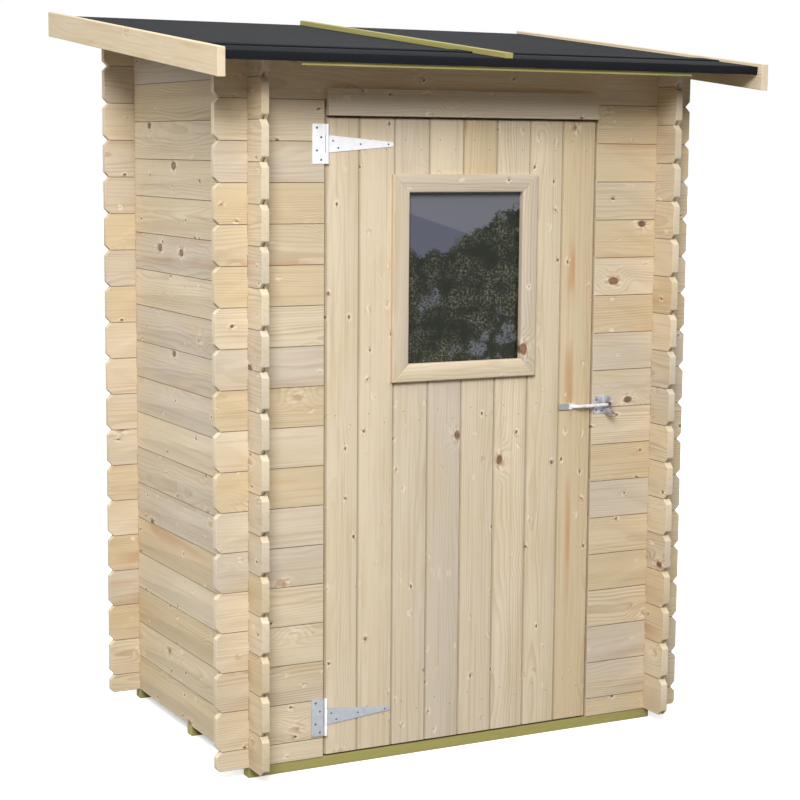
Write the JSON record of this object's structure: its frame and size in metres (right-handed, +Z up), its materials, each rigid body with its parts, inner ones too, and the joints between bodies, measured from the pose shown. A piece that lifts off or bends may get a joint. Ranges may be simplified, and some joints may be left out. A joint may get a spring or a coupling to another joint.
{
  "type": "wooden garden shed",
  "caption": "Small log-built garden shed with a lean-to felt roof, treated bearers, a hinged board door with a window, strap hinges and a bar latch.",
  "frame": {"origin": "on the ground, under the middle of the roof's footprint", "axes": "+Z up, the door side faces -Y, +X to the right as seen from the door side"},
  "size_m": [1.478, 1.193, 1.856],
  "materials": {
    "log_timber": "untreated planed spruce, pale, with knots and resin streaks",
    "door_timber": "untreated planed spruce boards",
    "barge_timber": "untreated planed spruce, lighter",
    "treated_timber": "pressure-treated softwood, green",
    "roof_felt": "mineral roofing felt, dark charcoal, matt",
    "hinge_steel": "bright galvanised steel",
    "latch_steel": "galvanised steel, worn bright on the bar",
    "window_glass": "clear pane"
  },
  "bodies": {
    "shed": {"back_wall_logs_even": "log_timber", "back_wall_logs_odd": "log_timber", "barge_board_left": "barge_timber", "barge_board_right": "barge_timber", "door_head": "door_timber", "door_header_board": "door_timber", "door_post_left": "door_timber", "door_post_right": "door_timber", "eave_batten_back": "treated_timber", "eave_batten_front": "treated_timber", "felt_lower_strip": "roof_felt", "felt_upper_strip": "roof_felt", "floor_boards": "log_timber", "front_wall_left_logs_even": "log_timber", "front_wall_left_logs_odd": "log_timber", "front_wall_right_logs_even": "log_timber", "front_wall_right_logs_odd": "log_timber", "front_wall_top_log": "log_timber", "hinge_pins": "hinge_steel", "joist_back": "treated_timber", "joist_front": "treated_timber", "joist_middle": "treated_timber", "latch_catch": "latch_steel", "left_wall_logs_even": "log_timber", "left_wall_logs_odd": "log_timber", "lower_hinge_plate": "hinge_steel", "right_wall_logs_even": "log_timber", "right_wall_logs_odd": "log_timber", "roof_batten": "treated_timber", "roof_boards_even": "log_timber", "roof_boards_odd": "log_timber", "upper_hinge_plate": "hinge_steel"},
    "door": {"door_boards_even": "door_timber", "door_boards_odd": "door_timber", "door_brace": "door_timber", "door_ledges": "door_timber", "window_frame_rails": "door_timber", "window_frame_stiles": "door_timber", "window_glass": "window_glass", "window_bead_stiles": "door_timber", "window_bead_rails": "door_timber", "lower_hinge_strap": "hinge_steel", "upper_hinge_strap": "hinge_steel", "striker_bar": "latch_steel"},
    "pawl": {"latch_pawl": "latch_steel"}
  },
  "joints": [
    {"name": "door_hinge", "type": "hinge", "parent": "shed", "child": "door", "pos_m": [-0.377, -0.3845, 0.826], "axis": [0, 0, -1], "range_deg": [0, 110]},
    {"name": "pawl_pivot", "type": "hinge", "parent": "shed", "child": "pawl", "pos_m": [0.4215, -0.3945, 0.8645], "axis": [-1, 0, 0], "range_deg": [0, 45]}
  ]
}
